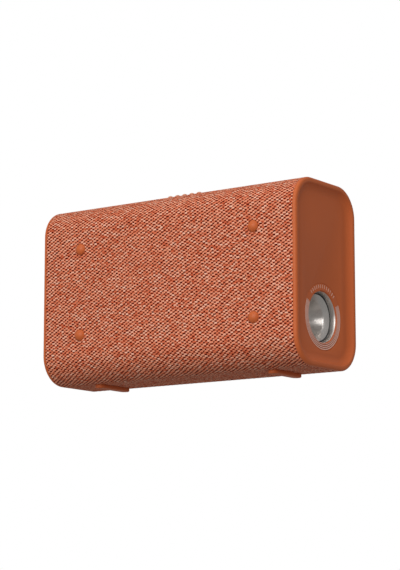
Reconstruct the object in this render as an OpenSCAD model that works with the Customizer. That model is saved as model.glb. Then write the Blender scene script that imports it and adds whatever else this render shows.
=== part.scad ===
// Fabric-wrapped camping power station: a woven sleeve on an aluminium tube, two moulded dished
// end caps, a torch in the right end, sockets in the left end, five push buttons on top.
// X runs from the socket end to the torch end, Y from front to back, Z up. The origin lies on
// the surface it stands on, under the middle of its box. All sizes are in millimetres.

/* [Body] */
// Length over the two end rims
body_l = 254; // [225:1:310]
// Depth from front face to back face
body_d = 90; // [88:1:110]
// Height of the body, without foot bars and buttons
body_h = 150; // [124:1:185]
// Radius of the four long edges
corner_r = 24.5; // [20:0.5:29]
// Thickness of the woven sleeve
sleeve_t = 1.2; // [0.8:0.1:2]
// Wall of the extruded tube under the sleeve
tube_wall = 2.5; // [2:0.1:4]

/* [End caps] */
// Width of the moulded rim that shows beside the sleeve
rim_band = 3; // [2.6:0.1:5]
// Radius of the rim's outside edge
rim_round = 2.2; // [1:0.1:2.4]
// Width of the flat crest of the rim
crest_w = 1; // [0.4:0.1:2]
// Radius where the crest turns down into the dish
crest_round = 1.6; // [0.8:0.1:2.4]
// Depth of the dish floor below the crest
dish_depth = 4; // [3:0.1:5]
// Distance from the outside edge to the flat dish floor
cove_w = 11; // [9.5:0.5:14]
// Thickness of the dish floor
floor_t = 2.5; // [2:0.1:4]
// Wall of the skirt that plugs into the tube
skirt_t = 2.4; // [1.6:0.1:3]
// How far the skirt reaches into the cap from the crest
skirt_end = 14; // [12:0.5:20]
// Thickness of the gasket between rim and tube
gasket_t = 0.8; // [0.5:0.1:1.5]

/* [Torch] */
// Height of the torch and mains socket axis above the body's underside
torch_up = 41.2; // [38:0.1:50]
// Outer diameter of the grooved trim ring
ring_d = 53.6; // [48:0.2:56]
// Bore of the polished bezel
bezel_bore = 39.5; // [36:0.1:42]
// Depth of the trim ring's chamfer
ring_t = 2.2; // [1.6:0.1:3]
// Number of fine grooves round the trim ring
groove_count = 5; // [3:1:6]

/* [Feet and studs] */
// Distance from the rim to the studs and foot bars
stud_end_inset = 40; // [35:1:46]
// Distance from the top and bottom of the body to the studs
stud_edge_inset = 38.8; // [32:0.2:46]
// Diameter of the domed studs
stud_d = 9.6; // [8:0.2:12]
// How far a stud stands out of the front face
stud_h = 3; // [2:0.1:4]
// Length of a foot bar
foot_l = 41; // [36:1:44]
// Width of a foot bar
foot_w = 8.6; // [8:0.2:11]
// Height of a foot bar
foot_t = 3; // [2.8:0.1:5]

/* [Buttons] */
// Distance between neighbouring buttons
button_pitch = 7.3; // [6.6:0.1:8]
// Diameter of a button
button_d = 4.4; // [4:0.1:4.8]
// How far a button stands above the top
button_h = 2.9; // [2:0.1:4]
// How far a button can be pushed down
button_travel = 1.2; // [0.6:0.1:1.4]
// Distance of the button row in front of the middle
strip_offset = 16; // [14:0.5:16]

/* [Sockets] */
// Bore of the recess of the mains socket
ac_bore = 39; // [38:0.1:40]
// Depth of the recess of the mains socket
ac_depth = 17.5; // [16:0.5:19]
// Distance between the two mains pins
ac_pin_pitch = 19; // [18:0.5:20]
// Bore of the 12 V socket
car_bore = 21; // [20:0.1:22]
// Depth of the 12 V socket behind its flange
car_depth = 38; // [34:1:40]

/* [Battery] */
// Diameter of one cell
cell_d = 21.2; // [18:0.1:21.2]
// Length of one cell
cell_l = 70; // [65:1:70]
// Wall of the holder between two cells
cell_wall = 0.8; // [0.8:0.1:2]

/* [Clearances] */
// Sliding clearance between pieces that plug together
fit_gap = 0.2; // [0.1:0.05:0.3]
// Running clearance between a button and its hole
button_gap = 0.08; // [0.05:0.01:0.1]
// Clearance of a hole over the screw in it
screw_gap = 0.2; // [0.1:0.05:0.4]

/* [Hidden] */
$fn = 48;

// Layers of the wall, from the outside in
tube_in = sleeve_t + tube_wall;
skirt_out = tube_in + fit_gap;
skirt_in = skirt_out + skirt_t;
tube_l = body_l - 2 * (rim_band + gasket_t);
sleeve_l = body_l - 2 * rim_band;
flat_d = body_d / 2 - corner_r;
flat_h = body_h / 2 - corner_r;
floor_back = dish_depth + floor_t;

// Snap hooks of the caps
hook_w = 14;
hook_l = 3;
hook_from = rim_band + 6;
hook_reach = 0.4;

// Boss, torch and mains socket share one bore in both caps
torch_y = torch_up - body_h / 2;
ring_r = ring_d / 2;
bezel_r = bezel_bore / 2;
bezel_out = bezel_r + 1.85;
bezel_flange_t = 1;
bezel_flange_r = ring_r - 0.4;
recess_r = ring_r + 0.1;
recess_depth = dish_depth + ring_t + bezel_flange_t;
boss_r = ring_r + 4;
boss_end = dish_depth + 12;
boss_hole_r = bezel_out + fit_gap;
nut_t = 3;
nut_r = bezel_out + 5;
groove_w = 0.35;
groove_deep = 0.25;
groove_in = bezel_r + 2.7;
groove_out = ring_r - 0.6;
groove_start = 152;
groove_turn = 236;
tick_step = 11;
tick_count = 4;

// Torch optics, as depths behind the crest
bezel_front = dish_depth + ring_t;
lens_front = bezel_front + 2;
lens_t = 1.1;
lens_back = lens_front + lens_t;
seal_w = 1;
mirror_rim_r = bezel_r - 1.25;
mirror_rim = lens_back + 0.2;
flare_w = 4;
flare_deep = 2.6;
mirror_hole_r = 4.2;
mirror_end = mirror_rim + 18;
mirror_wall = 1;
star_r = 10;
star_t = 1.6;
star_front = mirror_end + mirror_wall;
head_end = star_front + star_t;
head_seat = head_end - 8;
head_seat_r = bezel_r - 5.5;
head_screw_r = bezel_r - 1.8;
sink_t = 3;
fin_l = 10;
fin_t = 1.6;
fin_pitch = 4.8;
fin_count = 9;

// Feet and studs
stud_x = body_l / 2 - stud_end_inset;
stud_z = body_h / 2 - stud_edge_inset;
stud_shank_r = 2.5;
stud_shank_l = tube_wall + 3;
stud_nut_t = 2;
stud_nut_r = 5;
foot_round = 1;
foot_screw_y = foot_l / 2 - 8.5;
foot_screw_r = 1.5;
foot_head_r = 3;
foot_head_t = 1.3;
foot_sink = 1.7;

// Control strip, as heights above the top of the body
button_names = ["ac", "dc", "power", "usb", "torch"];
button_r = button_d / 2;
dome_h = 1;
strip_proud = 0.3;
strip_w = 10;
plug_w = 8.4;
boss_x = 2 * button_pitch + 6;
plug_l = 2 * boss_x + 5.8;
strip_l = plug_l + 5;
guide_end = tube_in - 0.8;
plug_end = tube_in + 1.5;
collar_r = button_r + 0.7;
collar_t = 0.9;
collar_top = guide_end + 0.1;
pocket_w = 2 * collar_r + 0.8;
pocket_l = 4 * button_pitch + pocket_w;
stem_r = 1.2;
stem_end = plug_end + 0.2;
seal_t = 0.4;
switch_top = stem_end + button_travel + 0.35;
switch_body = switch_top + 0.45;
board_top = switch_top + 1.5;
board_t = 1.6;
control_board_l = 62;
control_board_w = 20;
small_screw_r = 0.9;

// Sockets on the left end, with places as [depth, height] on the dish floor
ac_body_end = dish_depth + ac_depth + 3;
ac_hole_r = 2.5;
contact_r = 3.6;
contact_l = 11;
clip_size = [5, 1.2, 13];
car_r = car_bore / 2 + 1.7;
car_flange_r = car_r + 3.3;
car_flange_t = 1.2;
car_floor_t = 2;
car_end = dish_depth + car_depth + car_floor_t;
dc_r = 5.2;
dc_bore_r = 4;
dc_flange_r = 7;
dc_end = 18;
usb_x = 15;
usb_a_size = [13.2, 5.8];
usb_c_size = [9, 3.3];
usb_wall = 0.4;
usb_front = dish_depth + 0.3;

// The rows of sockets share the height that is free over the mains socket's boss
car_x = -14;
dc_x = 16;
reach = boss_r + car_flange_r;
rows_h = sqrt(reach ^ 2 - car_x ^ 2) + car_flange_r + usb_a_size.y + usb_c_size.y;
row_gap = (body_h / 2 - cove_w - torch_y - rows_h) / 4.1;
car_place = [car_x, torch_y + sqrt((reach + row_gap) ^ 2 - car_x ^ 2)];
dc_place = [dc_x, car_place.y];
usb_a_y = car_place.y + car_flange_r + row_gap + usb_a_size.y / 2;
usb_c_y = usb_a_y + (usb_a_size.y + usb_c_size.y) / 2 + row_gap;
port_board_front = 19;
port_board_w = 66;
port_board_low = usb_a_y - usb_a_size.y / 2 - 2.5;
port_board_high = usb_c_y + usb_c_size.y / 2 + 4;
port_post = [28, usb_a_y];
post_r = 3;

// Leads inside the case
heavy_lead_r = 1.6;
thin_lead_r = 1.2;
lead_sides = 8;
lead_rise_x = body_l / 2 - 42.5;
lead_top = 15;

// Boards stand on the outside of the brackets
bracket_t = 3;
side_standoff = 4;
side_part_t = 3;
side_stack = bracket_t + side_standoff + board_t + 2 * heavy_lead_r;

// Battery pack
cell_r = cell_d / 2;
pitch = cell_d + cell_wall;
holder_margin = 2.1;
holder_depth = 8;
holder_end = 2;
pack_y = cell_l / 2 + holder_end;
inner_r = corner_r - tube_in;
end_zone = max(head_end + sink_t + fin_l, car_end) + side_stack + 1;
electronics_h = 45;
pack_clear = 1;
cell_overhang = max(cell_l / 2 - flat_d, 0);
cells_bottom = -(flat_h + sqrt(inner_r * inner_r - cell_overhang * cell_overhang)) + pack_clear;
rows = floor((body_h / 2 - tube_in - electronics_h - cells_bottom - holder_margin + cell_wall) / pitch);
columns = floor((body_l - 2 * (end_zone + holder_margin)) / pitch);
pack_x = (columns - 1) * pitch / 2 + cell_r + holder_margin;
pack_bottom = cells_bottom - holder_margin;
pack_top = cells_bottom + rows * pitch - cell_wall + holder_margin;
window_r = 7.5;
link_t = 0.4;
link_w = 12;
bracket_x = pack_x + bracket_t;
bracket_foot = stud_x + 8;
bracket_left_top = pack_top - 11.4;
bracket_right_top = torch_y + bezel_out + 25.7;
bracket_screw_z = [for (k = [1:max(rows - 2, 1):rows - 1]) cells_bottom + k * pitch - cell_wall / 2];
holder_screw_y = pack_y - holder_depth / 2;
deck_screw_x = (columns - 2) * pitch / 2;

// Electronics on the deck over the pack
deck_t = 2;
standoff_r = 3;
standoff_h = 8;
board_x = pack_x - 5.7;
board_y = pack_y - 3;
board_z = pack_top + deck_t + standoff_h;
parts_z = board_z + board_t;
terminal_x = board_x - 4;
terminal_h = 5;
transformer_x = 30 - board_x;
transformer_size = [34, 28, 21];
capacitor_r = 8;
capacitor_h = 20;
capacitor_step = 18;
capacitor_y = 24;
capacitor_count = floor((2 * board_x - 46) / capacitor_step) + 1;
inductor_r = 7;
inductor_wire = 4;
ribbon_x = board_x - 29;

// Boards on the brackets
side_board_x = bracket_x + side_standoff;
side_board_out = side_board_x + board_t;
bms_size = [56, 0.725 * (bracket_left_top - pack_bottom)];
bms_z = bracket_left_top - bms_size.y / 2 + 2;
driver_size = [34, 26];
driver_z = bracket_right_top - driver_size.y / 2 + 2;

function arc(cx, cy, r, from, to, steps) =
    [for (i = [0:steps]) let (a = from + (to - from) * i / steps) [cx + r * cos(a), cy + r * sin(a)]];

// Places a piece given about the middle of the body
module placed() {
    translate([0, stud_h / 2, foot_t + body_h / 2]) children();
}

// On a cap x runs to the back, y up and z out of the end, from the crest of the rim
module right_end() {
    placed() translate([body_l / 2, 0, 0]) rotate([90, 0, 90]) children();
}

module left_end() {
    placed() mirror([1, 0, 0]) translate([body_l / 2, 0, 0]) rotate([90, 0, 90]) children();
}

// On the top z is the height above the sleeve, over the button row
module on_top() {
    placed() translate([0, -strip_offset, body_h / 2]) children();
}

module outline(inset) {
    r = corner_r - inset;
    square([2 * flat_d, body_h - 2 * inset], center = true);
    square([body_d - 2 * inset, 2 * flat_h], center = true);
    for (x = [-1, 1], y = [-1, 1]) translate([x * flat_d, y * flat_h]) circle(r);
}

// A length of the body's section, lying along X
module section(outer, inner, length) {
    rotate([90, 0, 90]) linear_extrude(length, center = true) difference() {
        outline(outer);
        outline(inner);
    }
}

module stadium(length, width) {
    square([length - width, width], center = true);
    for (x = [-1, 1]) translate([x * (length - width) / 2, 0]) circle(width / 2);
}

module disc(r, from, to) {
    translate([0, 0, from]) cylinder(r = r, h = to - from);
}

module tube(r_out, r_in, from, to) {
    difference() {
        disc(r_out, from, to);
        disc(r_in, from - 1, to + 1);
    }
}

// Sweeps a profile round the body's section; its x is measured from the corners' centres
module around() {
    corners = [[flat_d, flat_h, 0], [-flat_d, flat_h, 90], [-flat_d, -flat_h, 180], [flat_d, -flat_h, 270]];
    for (c = corners) translate([c.x, c.y, 0]) rotate(c.z) rotate_extrude(angle = 90) children();
    for (s = [[0, flat_d, flat_h], [90, flat_h, flat_d], [180, flat_d, flat_h], [270, flat_h, flat_d]])
        rotate(s.x) translate([s.y, s.z, 0]) rotate([90, 0, 0]) linear_extrude(2 * s.z) children();
}

module screw(head_r, head_t, shank_r, length) {
    difference() {
        union() {
            disc(head_r, -head_t, 0);
            disc(shank_r, 0, length);
        }
        translate([0, 0, -head_t - 1]) cylinder(r = head_r * 0.45, h = head_t * 0.6 + 1, $fn = 6);
    }
}

// A round lead through a list of points; side is a direction that the route never takes
module lead(route, r, side) {
    last = len(route) - 1;
    function way(i) = route[min(i + 1, last)] - route[max(i - 1, 0)];
    function ring(i) = let (
        t = way(i) / norm(way(i)),
        u = cross(t, side) / norm(cross(t, side)),
        v = cross(t, u)
    ) [for (k = [0:lead_sides - 1]) let (a = 360 * k / lead_sides) route[i] + r * (u * cos(a) + v * sin(a))];
    points = [for (i = [0:last], p = ring(i)) p];
    skin = [for (i = [0:last - 1], k = [0:lead_sides - 1]) let (n = (k + 1) % lead_sides, b = i * lead_sides)
        [b + k, b + lead_sides + k, b + lead_sides + n, b + n]];
    first_end = [for (k = [0:lead_sides - 1]) k];
    last_end = [for (k = [lead_sides - 1:-1:0]) last * lead_sides + k];
    polyhedron(points = points, faces = concat([first_end], skin, [last_end]));
}

// Body ------------------------------------------------------------------------------------

module at_studs(rows_of_studs = [-1, 1]) {
    for (x = [-1, 1], z = rows_of_studs) at_stud(x, z) children();
}

// At a stud z points out of the front, from the tube's surface
module at_stud(x, z) {
    translate([x * stud_x, sleeve_t - body_d / 2, z * stud_z]) rotate([90, 0, 0]) children();
}

module at_foot_screws() {
    for (x = [-1, 1], y = [-1, 1]) translate([x * stud_x, y * foot_screw_y, -body_h / 2]) children();
}

module fabric_sleeve() {
    color("indianred") difference() {
        placed() section(0, sleeve_t, sleeve_l);
        placed() at_studs() disc(stud_d / 2 + fit_gap, -1, sleeve_t + 1);
        placed() at_foot_screws() disc(foot_screw_r + screw_gap, -1, sleeve_t + 1);
        on_top() translate([0, 0, -sleeve_t - 1]) linear_extrude(sleeve_t + 2)
            stadium(strip_l + fit_gap, strip_w + fit_gap);
    }
}

module core_tube() {
    color("silver") difference() {
        placed() section(sleeve_t, tube_in, tube_l);
        placed() at_studs() disc(stud_shank_r + screw_gap, -tube_wall - 1, 1);
        placed() at_foot_screws() disc(foot_screw_r + screw_gap, 0, tube_in + 1);
        on_top() translate([0, 0, -tube_in - 1]) linear_extrude(tube_wall + 2)
            stadium(plug_l + 2 * fit_gap, plug_w + 2 * fit_gap);
        for (side = [0, 1]) placed() mirror([side, 0, 0]) translate([body_l / 2, 0, 0]) for (up = [-1, 1])
            translate([-hook_from - hook_l / 2, 0, up * (body_h / 2 - sleeve_t - tube_wall / 2)])
                cube([hook_l + 4 * fit_gap, hook_w + 4 * fit_gap, tube_wall + 1], center = true);
    }
}

// The cap's section, as [distance from the outside edge, height]
module cap_profile() {
    crest_end = rim_round + crest_w;
    sum_r = ((cove_w - crest_end) ^ 2 + dish_depth ^ 2) / (2 * dish_depth);
    cove_r = sum_r - crest_round;
    turn = asin((sum_r - dish_depth) / sum_r);
    lap = 1;
    points = concat(
        [[0, -rim_band]],
        arc(rim_round, -rim_round, rim_round, 180, 90, 6),
        arc(crest_end, -crest_round, crest_round, 90, turn, 4),
        arc(cove_w, cove_r - dish_depth, cove_r, 180 + turn, 270, 8),
        [[cove_w + lap, -dish_depth], [cove_w + lap, -floor_back], [skirt_in, -floor_back]],
        [[skirt_in, -skirt_end], [skirt_out, -skirt_end], [skirt_out, -rim_band]]
    );
    polygon([for (p = points) [corner_r - p.x, p.y]]);
}

module cap_hook() {
    root = body_h / 2 - skirt_out - skirt_t / 2;
    tip = body_h / 2 - sleeve_t - hook_reach;
    ramp = [[root, -hook_from - hook_l], [tip, -hook_from - hook_l / 2], [tip, -hook_from], [root, -hook_from]];
    rotate([90, 0, 90]) linear_extrude(hook_w, center = true) polygon(ramp);
}

// Rim, cove, dish floor, skirt and the bore that the torch and the mains socket share
module end_cap() {
    difference() {
        union() {
            around() cap_profile();
            translate([0, 0, -floor_back]) linear_extrude(floor_t) outline(cove_w);
            translate([0, torch_y, 0]) disc(boss_r, -boss_end, -floor_back + 0.5);
            cap_hook();
            mirror([0, 1, 0]) cap_hook();
        }
        translate([0, torch_y, 0]) disc(recess_r, -recess_depth, 1);
        translate([0, torch_y, 0]) disc(boss_hole_r, -boss_end - 1, 1);
    }
}

module end_cap_right() {
    color("chocolate") right_end() end_cap();
}

module at_usb(y) {
    for (x = [-1, 1]) translate([x * usb_x, y, 0]) children();
}

module at_port_posts() {
    for (x = [-1, 1]) translate([x * port_post.x, port_post.y, 0]) children();
}

module end_cap_left() {
    color("chocolate") left_end() difference() {
        union() {
            end_cap();
            at_port_posts() disc(post_r, -port_board_front, -floor_back + 0.5);
        }
        translate(car_place) disc(car_r + fit_gap, -floor_back - 1, 1);
        translate(dc_place) disc(dc_r + fit_gap, -floor_back - 1, 1);
        translate([0, 0, -floor_back - 1]) linear_extrude(floor_t + 2) {
            at_usb(usb_a_y) square(usb_a_size + [2, 2] * fit_gap, center = true);
            at_usb(usb_c_y) stadium(usb_c_size.x + 2 * fit_gap, usb_c_size.y + 2 * fit_gap);
        }
        at_port_posts() disc(small_screw_r, -port_board_front - 1, -floor_back - 1);
    }
}

module cap_gaskets() {
    color("dimgray") placed() for (x = [-1, 1])
        translate([x * (tube_l + gasket_t) / 2, 0, 0]) section(sleeve_t, tube_in, gasket_t);
}

module foot_bar() {
    half = [[0, 0], [0, -foot_t], [foot_w / 2 - foot_round, -foot_t]];
    edge = arc(foot_w / 2 - foot_round, foot_round - foot_t, foot_round, 270, 360, 5);
    side = concat(half, edge, [[foot_w / 2, 0]]);
    run = foot_l - foot_w;
    difference() {
        union() {
            for (end = [0, 180]) rotate(end) {
                translate([0, run / 2, 0]) rotate_extrude(angle = 180) polygon(side);
                translate([0, run / 2, 0]) rotate([90, 0, 0]) linear_extrude(run) polygon(side);
            }
        }
        for (y = [-1, 1]) translate([0, y * foot_screw_y, 0]) {
            disc(foot_screw_r + screw_gap, -foot_t - 1, 1);
            disc(foot_head_r + screw_gap, -foot_t - 1, -foot_t + foot_sink);
        }
    }
}

module foot_bar_right() {
    color("chocolate") placed() translate([stud_x, 0, -body_h / 2]) foot_bar();
}

module foot_bar_left() {
    color("chocolate") placed() translate([-stud_x, 0, -body_h / 2]) foot_bar();
}

module foot_screws() {
    length = foot_t - foot_sink + tube_in + bracket_t;
    color("gray") placed() at_foot_screws() translate([0, 0, foot_sink - foot_t])
        screw(foot_head_r, foot_head_t, foot_screw_r, length);
}

module stud(x, z) {
    dome_r = ((stud_d / 2) ^ 2 + stud_h ^ 2) / (2 * stud_h);
    rise = asin((dome_r - stud_h) / dome_r);
    shank = [[0, -stud_shank_l], [stud_shank_r, -stud_shank_l], [stud_shank_r, 0], [stud_d / 2, 0]];
    dome = arc(0, sleeve_t + stud_h - dome_r, dome_r, rise, 90, 10);
    color("chocolate") placed() at_stud(x, z) rotate_extrude() polygon(concat(shank, dome));
}

module stud_upper_right() {
    stud(1, 1);
}

module stud_upper_left() {
    stud(-1, 1);
}

module stud_lower_right() {
    stud(1, -1);
}

module stud_lower_left() {
    stud(-1, -1);
}

module stud_nuts() {
    color("gray") placed() at_studs() tube(stud_nut_r, stud_shank_r, -tube_wall - stud_nut_t, -tube_wall);
}

// Control strip and buttons ---------------------------------------------------------------

module at_bosses() {
    for (x = [-1, 1]) translate([x * boss_x, 0, 0]) children();
}

module at_buttons() {
    for (i = [0:4]) translate([(i - 2) * button_pitch, 0, 0]) children();
}

module control_strip() {
    color("chocolate") on_top() difference() {
        union() {
            translate([0, 0, -sleeve_t]) linear_extrude(sleeve_t + strip_proud) stadium(strip_l, strip_w);
            translate([0, 0, -plug_end]) linear_extrude(plug_end - sleeve_t) stadium(plug_l, plug_w);
            at_bosses() disc(2.2, -board_top, -plug_end + 0.5);
        }
        at_buttons() disc(button_r + button_gap, -plug_end - 1, strip_proud + 1);
        translate([0, 0, -plug_end - 1]) linear_extrude(plug_end - guide_end + 1) stadium(pocket_l, pocket_w);
        at_bosses() disc(small_screw_r, -board_top - 1, -plug_end + 1);
    }
}

module button(name) {
    place = search([name], button_names)[0] - 2;
    dome_r = (button_r ^ 2 + dome_h ^ 2) / (2 * dome_h);
    rise = asin((dome_r - dome_h) / dome_r);
    stem = [[0, -stem_end], [stem_r, -stem_end], [stem_r, -collar_top - collar_t]];
    collar = [[collar_r, -collar_top - collar_t], [collar_r, -collar_top], [button_r, -collar_top]];
    dome = arc(0, button_h - dome_r, dome_r, rise, 90, 8);
    color("linen") on_top() translate([place * button_pitch, 0, 0])
        rotate_extrude() polygon(concat(stem, collar, dome));
}

module button_ac() {
    button("ac");
}

module button_dc() {
    button("dc");
}

module button_power() {
    button("power");
}

module button_usb() {
    button("usb");
}

module button_torch() {
    button("torch");
}

module button_seal() {
    color("dimgray") on_top() difference() {
        translate([0, 0, -plug_end - seal_t]) linear_extrude(seal_t)
            stadium(pocket_l + 0.6, plug_w - 0.4);
        at_buttons() disc(stem_r + 0.35, -plug_end - 1, -plug_end + 1);
    }
}

module control_board() {
    color("darkgreen") on_top() difference() {
        union() {
            translate([0, 0, -board_top - board_t / 2])
                cube([control_board_l, control_board_w, board_t], center = true);
            translate([control_board_l / 2 - 5, 0, -board_top - board_t - 1.5]) cube([5, 14, 3.2], center = true);
        }
        at_bosses() disc(small_screw_r + screw_gap, -board_top - board_t - 1, -board_top + 1);
    }
}

module tact_switches() {
    color("black") on_top() at_buttons() {
        translate([0, 0, -(board_top + switch_body) / 2]) cube([4.5, 4.5, board_top - switch_body], center = true);
        disc(small_screw_r, -board_top, -switch_top);
    }
}

module control_board_screws() {
    depth = board_top + board_t;
    color("gray") on_top() at_bosses() translate([0, 0, -depth])
        screw(1.8, 1.2, small_screw_r, depth - plug_end + 0.5);
}

// Torch -----------------------------------------------------------------------------------

module at_torch() {
    right_end() translate([0, torch_y, 0]) children();
}

module torch_ring() {
    chamfer = [[bezel_r, -bezel_front], [ring_r, -bezel_front], [ring_r, -dish_depth], [bezel_r + 1.65, -dish_depth]];
    step = (groove_out - groove_in) / (groove_count - 1);
    color("sienna") at_torch() difference() {
        rotate_extrude() polygon(chamfer);
        for (i = [0:groove_count - 1]) rotate(groove_start) rotate_extrude(angle = groove_turn)
            translate([groove_in + i * step, -dish_depth]) square([groove_w, 2 * groove_deep], center = true);
        for (i = [-tick_count:tick_count]) rotate(90 + i * tick_step)
            translate([(groove_in + groove_out) / 2, 0, -dish_depth])
                cube([groove_out - groove_in - 1.2, groove_w * 2, 2 * groove_deep], center = true);
    }
}

module torch_bezel() {
    flange = [[bezel_r, -bezel_front], [bezel_r, -head_seat], [head_seat_r, -head_seat], [head_seat_r, -head_end]];
    body = [[bezel_out, -head_end], [bezel_out, -recess_depth]];
    lip = [[bezel_flange_r, -recess_depth], [bezel_flange_r, -bezel_front]];
    color("lightgray") at_torch() difference() {
        rotate_extrude() polygon(concat(flange, body, lip));
        at_head_screws() disc(small_screw_r, -head_end - 1, -head_end + 5);
    }
}

module at_head_screws() {
    for (a = [90, 210, 330]) rotate(a) translate([head_screw_r, 0, 0]) children();
}

module torch_bezel_nut() {
    color("gray") at_torch() tube(nut_r, bezel_out, -boss_end - nut_t, -boss_end);
}

module torch_lens() {
    color("white", 0.35) at_torch() disc(bezel_r - 0.1, -lens_back, -lens_front);
}

module lens_seal() {
    color("black") at_torch() tube(bezel_r, mirror_rim_r + 0.2, -lens_back - seal_w, -lens_back);
}

// A flared lip, then a parabola down to the emitter, with a collar that seats in the bezel
module torch_reflector() {
    bowl_r = mirror_rim_r - flare_w;
    bowl_top = mirror_rim + flare_deep;
    scale_r = (bowl_r ^ 2 - mirror_hole_r ^ 2) / (mirror_end - bowl_top);
    steps = 10;
    inside = [for (i = [0:steps]) let (r = bowl_r + (mirror_hole_r - bowl_r) * i / steps)
        [r, -bowl_top - (bowl_r ^ 2 - r ^ 2) / scale_r]];
    outside = [for (p = inside) p + [mirror_wall, -mirror_wall]];
    back = [for (i = [steps:-1:0]) outside[i]];
    collar = [[mirror_rim_r - 1, -mirror_rim - flare_deep - 0.8], [bezel_r - 0.05, -mirror_rim - flare_deep - 0.8],
        [bezel_r - 0.05, -mirror_rim - 1.2], [mirror_rim_r, -mirror_rim - 1.2]];
    color("whitesmoke") at_torch() rotate_extrude()
        polygon(concat([[mirror_rim_r, -mirror_rim]], inside, back, collar));
}

module torch_led() {
    color("khaki") at_torch() {
        translate([0, 0, -star_front + 0.35]) cube([5, 5, 0.7], center = true);
        translate([0, 0, -star_front + 0.7]) difference() {
            sphere(r = 1.7);
            disc(3, -3, -0.2);
        }
    }
}

module torch_star_board() {
    color("darkgreen") at_torch() disc(star_r, -head_end, -star_front);
}

module torch_heatsink() {
    sink_front = head_end;
    color("silver") at_torch() {
        difference() {
            disc(bezel_out, -sink_front - sink_t, -sink_front);
            at_head_screws() disc(small_screw_r + screw_gap, -sink_front - sink_t - 1, -sink_front + 1);
        }
        intersection() {
            disc(head_screw_r - 2.8, -sink_front - sink_t - fin_l, -sink_front - sink_t);
            for (i = [0:fin_count - 1]) translate([(i - (fin_count - 1) / 2) * fin_pitch, 0, -sink_front])
                cube([fin_t, 3 * bezel_out, 3 * fin_l], center = true);
        }
    }
}

module heatsink_screws() {
    color("gray") at_torch() at_head_screws() translate([0, 0, -head_end - sink_t])
        screw(1.8, 1.2, small_screw_r, sink_t + 4.5);
}

// A board on standoffs, on the outside of a battery bracket
module side_board(size, z, blocks) {
    translate([side_board_x, -size.x / 2, z - size.y / 2]) cube([board_t, size.x, size.y]);
    for (y = [-1, 1], up = [-1, 1])
        translate([bracket_x, y * (size.x / 2 - 5), z + up * (size.y / 2 - 5)]) rotate([0, 90, 0])
            cylinder(r = 2.2, h = side_standoff);
    for (b = blocks) translate([side_board_out, b[0] - b[2] / 2, z + b[1] - b[3] / 2])
        cube([side_part_t, b[2], b[3]]);
}

module torch_driver_board() {
    blocks = [[-8, 0, 8, 8], [8, -4, 6, 10], [0, 8, 7, 6]];
    color("darkgreen") placed() side_board(driver_size, driver_z, blocks);
}

// Battery ---------------------------------------------------------------------------------

module at_cells() {
    for (i = [0:columns - 1], k = [0:rows - 1])
        translate([(i - (columns - 1) / 2) * pitch, 0, cells_bottom + cell_r + k * pitch])
            rotate([90, 0, 0]) children();
}

module battery_cells() {
    groove = cell_l / 2 - 4;
    wall = [[cell_r, -cell_l / 2], [cell_r, groove - 1], [cell_r - 0.8, groove], [cell_r, groove + 1]];
    can = concat([[0, -cell_l / 2]], wall, [[cell_r, cell_l / 2], [0, cell_l / 2]]);
    color("teal") placed() at_cells() rotate_extrude() polygon(can);
}

// Moulded plate that grips one end of every cell, cut back where the tube's corners come near
module cell_holder(side) {
    mid = side * (pack_y - holder_depth / 2);
    color("darkslategray") placed() difference() {
        intersection() {
            translate([-pack_x, mid - holder_depth / 2, pack_bottom])
                cube([2 * pack_x, holder_depth, pack_top - pack_bottom]);
            rotate([90, 0, 90]) linear_extrude(body_l, center = true) outline(tube_in + 0.5);
        }
        at_cells() cylinder(r = cell_r + 0.1, h = cell_l, center = true);
        at_cells() cylinder(r = window_r, h = body_d, center = true);
        at_bracket_screws() cylinder(r = small_screw_r, h = 5);
        at_deck_screws() disc(small_screw_r, -5, 1);
    }
}

module cell_holder_front() {
    cell_holder(-1);
}

module cell_holder_back() {
    cell_holder(1);
}

// One strip over each column at each end, welded to the cells through the holder's windows
module cell_links() {
    height = (rows - 1) * pitch + link_w;
    color("lightgray") placed() for (side = [-1, 1]) {
        for (i = [0:columns - 1]) translate([(i - (columns - 1) / 2) * pitch, 0, 0]) {
            translate([0, side * (pack_y + link_t / 2), cells_bottom + cell_r + (rows - 1) * pitch / 2])
                cube([link_w, link_t, height], center = true);
            for (k = [0:rows - 1])
                translate([0, side * (cell_l / 2 + pack_y) / 2, cells_bottom + cell_r + k * pitch])
                    rotate([90, 0, 0]) cylinder(r = 5, h = holder_end, center = true);
        }
    }
}

// At a bracket screw z points into the pack
module at_bracket_screws() {
    for (x = [-1, 1], y = [-1, 1], z = bracket_screw_z)
        translate([x * pack_x, y * holder_screw_y, z]) rotate([0, -x * 90, 0]) children();
}

module battery_bracket(top) {
    plate_y = pack_y - 1;
    difference() {
        union() {
            intersection() {
                translate([pack_x, -plate_y, -body_h / 2]) cube([bracket_t, 2 * plate_y, top + body_h / 2]);
                rotate([90, 0, 90]) linear_extrude(body_l, center = true) outline(tube_in);
            }
            translate([pack_x, -flat_d, tube_in - body_h / 2]) cube([bracket_foot - pack_x, 2 * flat_d, bracket_t]);
        }
        at_bracket_screws() disc(small_screw_r + screw_gap, -bracket_t - 1, 1);
        at_foot_screws() disc(foot_screw_r, 0, tube_in + bracket_t + 1);
    }
}

module battery_bracket_right() {
    color("silver") placed() battery_bracket(bracket_right_top);
}

module battery_bracket_left() {
    color("silver") placed() mirror([1, 0, 0]) battery_bracket(bracket_left_top);
}

module bracket_screws() {
    color("gray") placed() at_bracket_screws() translate([0, 0, -bracket_t])
        screw(1.8, 1.2, small_screw_r, bracket_t + 4);
}

module bms_board() {
    up = bms_size.y / 4;
    power = [for (y = [-16, 0, 16]) [y, 0.7 * up, 12, up]];
    blocks = concat(power, [[-8, -up, 20, up / 2], [14, -up, 10, up / 2], [0, 1.6 * up, 24, up / 3]]);
    color("darkgreen") placed() mirror([1, 0, 0]) side_board(bms_size, bms_z, blocks);
}

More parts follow.
